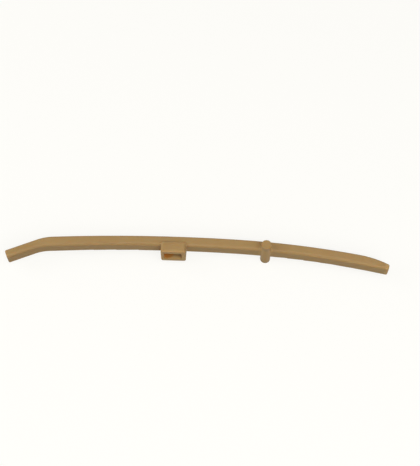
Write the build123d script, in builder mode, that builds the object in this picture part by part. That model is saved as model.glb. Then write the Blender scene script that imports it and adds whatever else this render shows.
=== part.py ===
import os
from math import degrees

from build123d import *

# Timing chain guide: one moulded nylon bar that bows gently towards the chain.
# The origin is on the cross pin's axis at mid width. +X runs along the guide to its lead-in end,
# +Y points to the chain and +Z is across the guide. Sizes are in millimetres.

# Bar section
bar_width = 7.1
bar_thickness = 4.95
tail_thickness = 4.1
back_edge_radius = 1.4
chain_edge_radius = 0.8
end_edge_radius = 0.75

# Bow of the concave back face, measured from its crown, where the pocket stands
crown_radius = 830.0
crown_to_bend = 63.3
crown_to_run = 29.4
run_radius = 440.0
run_length = 73.6

# Bent tail
tail_angle = 19.2
tail_length = 16.6
bend_back_radius = 19.0
bend_chain_radius = 23.0

# Lead-in ramp on the chain side of the far end
lead_in_length = 14.5
lead_in_radius = 46.0

# Chain channel between two side lips
lip_width = 1.1
channel_depth = 0.8
channel_root_radius = 0.3

# Pocket boss behind the crown, which grips the bar's back corners. It stands a little towards the
# far end, and its wall on that side of the pocket is the thicker one.
boss_station = 0.25
boss_length = 11.9
boss_width = 9.6
boss_height = 4.2
boss_grip = 1.2
boss_draft = 1.5
boss_corner_radius = 1.2
boss_rim_radius = 0.35
boss_root_radius = 0.3
boss_tail_wall = 1.45
boss_far_wall = 1.95
boss_edge_wall = 2.0
pocket_depth = 5.0
pocket_corner_radius = 0.6
pocket_draft = 1.0

# Cross pin, set forward from the back face, with a slight crown between its two journals,
# which start a small gap out from the bar's sides
pin_diameter = 4.8
pin_crown = 0.1
pin_length = 15.8
pin_station = 15.0
pin_setback = 1.15
pin_rim_radius = 0.25
pin_root_radius = 0.3
journal_gap = 0.4

# Turns of the bow, in degrees
bend_turn = degrees(crown_to_bend / crown_radius)
crown_turn = degrees(crown_to_run / crown_radius)
run_turn = degrees(run_length / run_radius)


def bow_right(offset):
    """Draw the bow from the crown to the far end, at an offset from the back face."""
    crown_arc = JernArc((0, offset), (1, 0), crown_radius + offset, -crown_turn)
    return JernArc(crown_arc @ 1, crown_arc % 1, run_radius + offset, -run_turn)


def bow_left(bow_offset, tail_offset):
    """Draw the bow and tail left of the crown, at their offsets from the back face."""
    tip = tail_tip + tail_across * tail_offset
    reach = JernArc((0, bow_offset), (-1, 0), crown_radius + bow_offset, 2 * bend_turn, mode=Mode.PRIVATE)
    tail_line = IntersectingLine(tip, -tail_along, reach)
    TangentArc((0, bow_offset), tail_line @ 1, tangent=(-1, 0))
    return tail_line


# Back face in the crown's frame, from the tail's tip to the lead-in end
with BuildLine() as back_face:
    back_left = JernArc((0, 0), (-1, 0), crown_radius, bend_turn)
    tail_along = (back_left % 1).rotate(Axis.Z, tail_angle)
    tail_across = tail_along.rotate(Axis.Z, -90)
    tail_back = Line(back_left @ 1, back_left @ 1 + tail_along * tail_length)
    back_run = bow_right(0)
tail_tip = tail_back @ 1

# The pin's axis stands forward of the back face, and the crown's frame puts it at the origin
pin_foot = back_run @ (pin_station / run_length)
pin_across = (back_run % (pin_station / run_length)).rotate(Axis.Z, 90)
pin_axis = pin_foot + pin_across * pin_setback
crown = Plane(origin=(-pin_axis.X, -pin_axis.Y, 0))

# Side outline, with the two bend corners rounded
with BuildSketch(crown) as outline:
    with BuildLine():
        add(back_face.line)
        Line(tail_tip, tail_tip + tail_across * tail_thickness)
        tail_chain = bow_left(bar_thickness, tail_thickness)
        chain_run = bow_right(bar_thickness)
        Line(back_run @ 1, chain_run @ 1)
    make_face()
    with BuildLine():
        ramp_at = 1 - lead_in_length / run_length
        past_end = 1.5 * lead_in_length
        ramp_turn = degrees(past_end / lead_in_radius)
        ramp = JernArc(chain_run @ ramp_at, chain_run % ramp_at, lead_in_radius, -ramp_turn)
        Polyline(ramp @ 1, ramp @ 0 + chain_run % ramp_at * past_end, ramp @ 0)
    make_face(mode=Mode.SUBTRACT)
    fillet(outline.vertices().sort_by_distance(back_left @ 1)[0], bend_back_radius)
    fillet(outline.vertices().sort_by_distance(tail_chain @ 1)[0], bend_chain_radius)

# Space of the chain channel, whose floor runs out where the lips fall to it
with BuildPart() as channel:
    channel_floor = bar_thickness - channel_depth
    clear_above = 2 * bar_thickness
    with BuildSketch(crown) as channel_side:
        with BuildLine():
            tail_floor = bow_left(channel_floor, channel_floor)
            floor_run = bow_right(channel_floor)
            far_end = floor_run @ 1
            near_end = tail_floor @ 0
            Polyline(far_end, (far_end.X, clear_above), (near_end.X, clear_above), near_end)
        make_face()
        floor_corner = channel_side.vertices().sort_by_distance(tail_floor @ 1)[0]
        fillet(floor_corner, bend_back_radius + channel_floor)
    extrude(amount=bar_width / 2 - lip_width, both=True)
    fillet(channel.faces().filter_by(Axis.Z).edges().filter_by(GeomType.CIRCLE), channel_root_radius)

# Pocket boss, drawn on its open rim
rim_place = crown.origin + (boss_station, -boss_height, 0)
boss_rim = Plane(origin=rim_place, x_dir=(1, 0, 0), z_dir=(0, -1, 0))
with BuildPart() as boss:
    with BuildSketch(boss_rim):
        RectangleRounded(boss_length, boss_width, boss_corner_radius)
    extrude(amount=-(boss_height + boss_grip), taper=-boss_draft)
    fillet(boss.faces().sort_by(Axis.Y)[0].edges(), boss_rim_radius)
    fillet(boss.faces().sort_by(Axis.Y)[-1].edges(), boss_rim_radius)

# Cross pin, turned about its own axis
with BuildPart() as pin:
    with BuildSketch(Plane.XZ):
        with BuildLine():
            pin_end = pin_length / 2
            crown_end = bar_width / 2 + journal_gap
            radius = pin_diameter / 2
            crown_arc = ThreePointArc((radius, -crown_end), (radius + pin_crown, 0), (radius, crown_end))
            Line(crown_arc @ 1, (radius, pin_end))
            Polyline((radius, pin_end), (0, pin_end), (0, -pin_end), (radius, -pin_end))
            Line((radius, -pin_end), crown_arc @ 0)
        make_face()
    revolve(axis=Axis.Z)
    fillet(pin.faces().filter_by(Axis.Z).edges(), pin_rim_radius)

# The guide in one piece
with BuildPart() as guide_rail:
    add(outline.sketch)
    extrude(amount=bar_width / 2, both=True)
    side_edges = guide_rail.faces().filter_by(Axis.Z).edges()
    back_edges = side_edges.sort_by_distance(crown.origin)[:2]
    chain_edges = side_edges.sort_by_distance(crown.origin + (0, 2 * bar_thickness, 0))[:2]
    fillet(back_edges, back_edge_radius)
    fillet(chain_edges, chain_edge_radius)
    end_faces = guide_rail.faces().filter_by(GeomType.PLANE).sort_by(Axis.X)
    fillet(end_faces[0].edges() + end_faces[-1].edges(), end_edge_radius)
    add(channel.part, mode=Mode.SUBTRACT)
    add(boss.part)
    fillet(guide_rail.edges(Select.NEW), boss_root_radius)
    add(pin.part)
    fillet(guide_rail.edges(Select.NEW), pin_root_radius)
    with BuildSketch(boss_rim):
        pocket_length = boss_length - boss_tail_wall - boss_far_wall
        pocket_width = boss_width - 2 * boss_edge_wall
        with Locations(((boss_tail_wall - boss_far_wall) / 2, 0)):
            RectangleRounded(pocket_length, pocket_width, pocket_corner_radius)
    extrude(amount=-pocket_depth, taper=pocket_draft, mode=Mode.SUBTRACT)

guide_rail.part.label = "guide_rail"
os.makedirs("parts", exist_ok=True)
export_step(guide_rail.part, "parts/guide_rail.step")
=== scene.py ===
import math

import bpy
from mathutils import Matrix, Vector


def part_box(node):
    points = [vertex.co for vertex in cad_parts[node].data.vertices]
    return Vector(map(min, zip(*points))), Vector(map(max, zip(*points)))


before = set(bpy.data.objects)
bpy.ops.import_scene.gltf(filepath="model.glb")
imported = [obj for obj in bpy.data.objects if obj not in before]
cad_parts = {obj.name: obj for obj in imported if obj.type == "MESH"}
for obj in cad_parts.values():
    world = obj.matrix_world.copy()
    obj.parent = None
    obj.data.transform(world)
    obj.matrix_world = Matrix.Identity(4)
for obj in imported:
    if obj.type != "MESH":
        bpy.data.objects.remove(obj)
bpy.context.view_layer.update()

# Timing chain guide, moulded in tan nylon, on a pale ground. Places are in metres in the part's own
# frame: +X along the guide to its lead-in end, +Y towards the chain, +Z up.
MM = 0.001

# Camera, at the photograph's viewing angle, in degrees
IMAGE_LONG_SIDE = 466
FOCAL_PIXELS = 1000.0
SENSOR_LONG_SIDE = 36.0
CLIP_START = 10 * MM
VIEW_AZIMUTH = 1.985
VIEW_ELEVATION = 63.0
VIEW_DISTANCE = 484.0 * MM
VIEW_TARGET = Vector((-27.09, 9.16, 0.0)) * MM

# Colours, linear
NYLON = (0.346, 0.219, 0.088)
NYLON_PALE = (0.368, 0.237, 0.098)
# Painted glow, paler nylon where light comes through and falls on thin parts
NYLON_PAINTED_GLOW = (0.415, 0.265, 0.108)
# Painted warm shade, darker and redder nylon deep in the pocket
NYLON_PAINTED_WARM_SHADE = (0.430, 0.168, 0.033)
FLOOR_CREAM = (0.991, 0.982, 0.947)
SKY_WHITE = (1.0, 1.0, 1.0)

# Light passes into the nylon for about this far, and the red part goes farthest
GLOW_DEPTH = 1.0 * MM
GLOW_COLOURS = (1.0, 0.45, 0.20)
GLOW_SHARE = 0.5
SHEEN_LEVEL = 0.12
NYLON_IOR = 1.53

# Mottling, and flow streaks drawn out along the guide, from the middle part of a noise's range
NOISE_LOW = 0.3
NOISE_HIGH = 0.7
MOTTLES_PER_METRE = 70.0
STREAKS_PER_METRE = 420.0
STREAK_STRETCH = (0.12, 1.0, 1.0)
STREAK_SHARE = 0.3

# Relief, and the roughness that comes with it
WAVES_PER_METRE = 160.0
WAVE_HEIGHT = 0.05 * MM
WAVE_STRENGTH = 0.25
GRAINS_PER_METRE = 5200.0
GRAIN_HEIGHT = 0.012 * MM
GRAIN_STRENGTH = 0.5
SMOOTHEST = 0.40
ROUGHEST = 0.50

# Painted light: the nylon's colour is painted paler, as a painted glow, at the boss's rim, on the pin and at
# the lead-in end's tip, where light comes through the thin parts and falls on them, and painted warmer and
# darker, as painted warm shade, deep in the pocket. Each zone is an ellipsoid with a middle, a reach and a
# tint, which fades out over the last share of the reach.
ZONE_FADE_SHARE = 0.25
RIM_MIDDLE = Vector((-44.2, -4.6, 0.0)) * MM
RIM_REACH = Vector((10.0, 2.8, 9.0)) * MM
PIN_MIDDLE = Vector((0.0, 0.0, 0.0)) * MM
PIN_REACH = Vector((4.0, 4.0, 8.6)) * MM
TIP_MIDDLE = Vector((58.6, -7.0, 0.0)) * MM
TIP_REACH = Vector((2.6, 5.5, 8.0)) * MM
POCKET_MIDDLE = Vector((-47.2, -0.4, -0.6)) * MM
POCKET_REACH = Vector((4.2, 4.2, 5.0)) * MM
# Painted glow on the thin parts and painted warm shade in the pocket, zone by zone
PAINTED_LIGHT_ZONES = (
    (RIM_MIDDLE, RIM_REACH, NYLON_PAINTED_GLOW),
    (PIN_MIDDLE, PIN_REACH, NYLON_PAINTED_GLOW),
    (TIP_MIDDLE, TIP_REACH, NYLON_PAINTED_GLOW),
    (POCKET_MIDDLE, POCKET_REACH, NYLON_PAINTED_WARM_SHADE),
)

# Light levels, at which a colour renders about as it is written
SKY_STRENGTH = 0.16
SKY_SEEN_STRENGTH = 1.0
LIGHT_DISTANCE = 950 * MM
LIGHT_SIZE = 900 * MM
FRONT_WATTS = 6.6
LEFT_WATTS = 6.2
RIGHT_WATTS = 2.8

# Floor, which looks to the camera like an even glow with a share that takes the guide's shadow
FLOOR_REACH = 3.0
FLOOR_GAP = 0.05 * MM
FLOOR_BOUNCE = 0.20
FLOOR_SHADED_SHARE = 0.15
FLOOR_GLOW = 0.845

# Where a mix node keeps its two colours and its mixed colour
MIX_FIRST = 6
MIX_SECOND = 7
MIX_RESULT = 2


def new_material(name):
    """A material with an empty node tree, and that tree."""
    material = bpy.data.materials.new(name)
    material.use_nodes = True
    material.node_tree.nodes.clear()
    return material, material.node_tree


def add_node(tree, kind, inputs, **settings):
    """A node of that kind. Each input gets a plain value or the socket that feeds it."""
    node = tree.nodes.new(kind)
    for name, value in settings.items():
        setattr(node, name, value)
    for name, value in inputs.items():
        if isinstance(value, bpy.types.NodeSocket):
            tree.links.new(value, node.inputs[name])
        else:
            node.inputs[name].default_value = value
    return node


def opaque(colour):
    """The colour with full cover, as a socket takes it."""
    return (*colour, 1.0)


def noise(tree, place, per_metre, detail, roughness=0.5):
    """Noise that varies about that many times in a metre."""
    inputs = {"Vector": place, "Scale": per_metre, "Detail": detail, "Roughness": roughness}
    return add_node(tree, "ShaderNodeTexNoise", inputs).outputs["Fac"]


def remap(tree, value, low, high, to_low, to_high):
    """The value taken from low..high to to_low..to_high."""
    inputs = {"Value": value, "From Min": low, "From Max": high, "To Min": to_low, "To Max": to_high}
    return add_node(tree, "ShaderNodeMapRange", inputs).outputs["Result"]


def bump(tree, height, distance, strength, below=None):
    """A bump of that height in metres, on top of the one below it."""
    inputs = {"Height": height, "Distance": distance, "Strength": strength}
    if below is not None:
        inputs["Normal"] = below
    return add_node(tree, "ShaderNodeBump", inputs).outputs["Normal"]


def mix_colours(tree, share, first, second):
    """From the first colour's socket or value at a share of 0 to the second at 1."""
    inputs = {"Factor": share, MIX_FIRST: first, MIX_SECOND: second}
    return add_node(tree, "ShaderNodeMix", inputs, data_type="RGBA").outputs[MIX_RESULT]


def zone(tree, place, middle, reach):
    """1 inside an ellipsoid zone, falling to 0 at its reach."""
    inputs = {"Vector": place, "Location": middle, "Scale": reach}
    scaled = add_node(tree, "ShaderNodeMapping", inputs, vector_type="TEXTURE").outputs["Vector"]
    ball = add_node(tree, "ShaderNodeTexGradient", {"Vector": scaled}, gradient_type="SPHERICAL")
    return remap(tree, ball.outputs["Fac"], 0.0, ZONE_FADE_SHARE, 0.0, 1.0)


def nylon_colour(tree, place, mottle):
    """Natural tan with faint mottling and flow streaks, and the painted glow or painted warm shade of each
    zone.
    """
    stretched = add_node(tree, "ShaderNodeMapping", {"Vector": place, "Scale": STREAK_STRETCH})
    streaks = noise(tree, stretched.outputs["Vector"], STREAKS_PER_METRE, detail=3.0)
    streaked = remap(tree, streaks, NOISE_LOW, NOISE_HIGH, 0.0, STREAK_SHARE)
    mottled = remap(tree, mottle, NOISE_LOW, NOISE_HIGH, 0.0, 1.0 - STREAK_SHARE)
    pale = add_node(tree, "ShaderNodeMath", {0: streaked, 1: mottled}, operation="ADD").outputs[0]
    colour = mix_colours(tree, pale, opaque(NYLON), opaque(NYLON_PALE))
    # Each zone's tint is painted light: a painted glow on thin parts, painted warm shade in the pocket
    for middle, reach, tint in PAINTED_LIGHT_ZONES:
        colour = mix_colours(tree, zone(tree, place, middle, reach), colour, opaque(tint))
    return colour


def nylon_material():
    """Moulded nylon: satin, with light passing a little way in, faint waves and a fine eroded grain."""
    material, tree = new_material("tan_nylon")
    place = add_node(tree, "ShaderNodeTexCoord", {}).outputs["Object"]
    mottle = noise(tree, place, MOTTLES_PER_METRE, detail=3.0, roughness=0.55)
    waves = noise(tree, place, WAVES_PER_METRE, detail=2.0)
    grains = noise(tree, place, GRAINS_PER_METRE, detail=3.0, roughness=0.6)
    waviness = bump(tree, waves, WAVE_HEIGHT, WAVE_STRENGTH)
    shader = add_node(tree, "ShaderNodeBsdfPrincipled", {
        "Base Color": nylon_colour(tree, place, mottle),
        "Roughness": remap(tree, mottle, NOISE_LOW, NOISE_HIGH, SMOOTHEST, ROUGHEST),
        "IOR": NYLON_IOR,
        "Specular IOR Level": SHEEN_LEVEL,
        "Subsurface Weight": GLOW_SHARE,
        "Subsurface Radius": GLOW_COLOURS,
        "Subsurface Scale": GLOW_DEPTH,
        "Normal": bump(tree, grains, GRAIN_HEIGHT, GRAIN_STRENGTH, waviness),
    })
    add_node(tree, "ShaderNodeOutputMaterial", {"Surface": shader.outputs["BSDF"]})
    return material


def choose_by_ray(tree, lighting, seen):
    """The seen shader for camera, glossy and transmission rays, the other for rays that light the object."""
    rays = add_node(tree, "ShaderNodeLightPath", {}).outputs
    share = rays["Is Camera Ray"]
    for kind in ("Is Glossy Ray", "Is Transmission Ray"):
        share = add_node(tree, "ShaderNodeMath", {0: share, 1: rays[kind]}, operation="MAXIMUM").outputs[0]
    return add_node(tree, "ShaderNodeMixShader", {0: share, 1: lighting, 2: seen}).outputs[0]


def floor_diffuse(tree, share):
    """A matt surface in that share of the floor's cream."""
    colour = [share * part for part in FLOOR_CREAM]
    return add_node(tree, "ShaderNodeBsdfDiffuse", {"Color": opaque(colour)}).outputs[0]


def floor_material():
    """Pale cream, near white to the camera, where a share of it still takes the object's shadow."""
    material, tree = new_material("floor_cream")
    plain = floor_diffuse(tree, FLOOR_BOUNCE)
    shaded = floor_diffuse(tree, FLOOR_SHADED_SHARE)
    glow = add_node(tree, "ShaderNodeEmission", {"Color": opaque(FLOOR_CREAM), "Strength": FLOOR_GLOW})
    seen = add_node(tree, "ShaderNodeAddShader", {0: shaded, 1: glow.outputs[0]}).outputs[0]
    add_node(tree, "ShaderNodeOutputMaterial", {"Surface": choose_by_ray(tree, plain, seen)})
    return material


def make_floor(height):
    """A wide floor at that height."""
    quarters = ((-1, -1), (1, -1), (1, 1), (-1, 1))
    corners = [(x * FLOOR_REACH, y * FLOOR_REACH, height) for x, y in quarters]
    mesh = bpy.data.meshes.new("floor")
    mesh.from_pydata(corners, [], [(0, 1, 2, 3)])
    floor = bpy.data.objects.new("floor", mesh)
    bpy.context.scene.collection.objects.link(floor)
    floor.data.materials.append(floor_material())


def background(tree, colour, strength):
    """An even sky of that colour and strength."""
    inputs = {"Color": opaque(colour), "Strength": strength}
    return add_node(tree, "ShaderNodeBackground", inputs).outputs[0]


def make_sky():
    """An even white sky, which the camera and reflections see in the floor's cream."""
    world = bpy.data.worlds.new("studio")
    bpy.context.scene.world = world
    world.use_nodes = True
    tree = world.node_tree
    tree.nodes.clear()
    light = background(tree, SKY_WHITE, SKY_STRENGTH)
    seen = background(tree, FLOOR_CREAM, SKY_SEEN_STRENGTH)
    add_node(tree, "ShaderNodeOutputWorld", {"Surface": choose_by_ray(tree, light, seen)})


def around(azimuth, elevation, distance):
    """The place seen from the view's target at these degrees, azimuth 0 being on the -Y side."""
    turn = math.radians(azimuth)
    rise = math.radians(elevation)
    level = distance * math.cos(rise)
    offset = (level * math.sin(turn), -level * math.cos(turn), distance * math.sin(rise))
    return VIEW_TARGET + Vector(offset)


def place_facing(name, data, place):
    """Add a light or camera at a place, level, and turned to the view's target."""
    thing = bpy.data.objects.new(name, data)
    bpy.context.scene.collection.objects.link(thing)
    thing.location = place
    thing.rotation_euler = (VIEW_TARGET - place).to_track_quat("-Z", "Y").to_euler()
    return thing


def soft_light(name, azimuth, elevation, watts):
    """A square soft box that points at the view's target."""
    lamp = bpy.data.lights.new(name, "AREA")
    lamp.size = LIGHT_SIZE
    lamp.energy = watts
    place_facing(name, lamp, around(azimuth, elevation, LIGHT_DISTANCE))


def make_camera():
    """The camera, at the photograph's angle, distance and focal length."""
    lens = bpy.data.cameras.new("camera")
    lens.sensor_width = SENSOR_LONG_SIDE
    lens.lens = SENSOR_LONG_SIDE * FOCAL_PIXELS / IMAGE_LONG_SIDE
    lens.clip_start = CLIP_START
    place = around(VIEW_AZIMUTH, VIEW_ELEVATION, VIEW_DISTANCE)
    bpy.context.scene.camera = place_facing("camera", lens, place)


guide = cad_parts["guide_rail"]
guide.data.materials.clear()
guide.data.materials.append(nylon_material())

make_floor(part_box("guide_rail")[0].z - FLOOR_GAP)
make_sky()
soft_light("front", azimuth=25, elevation=60, watts=FRONT_WATTS)
soft_light("left", azimuth=-90, elevation=30, watts=LEFT_WATTS)
soft_light("right", azimuth=45, elevation=37, watts=RIGHT_WATTS)
make_camera()
bpy.context.scene.view_settings.view_transform = "Standard"
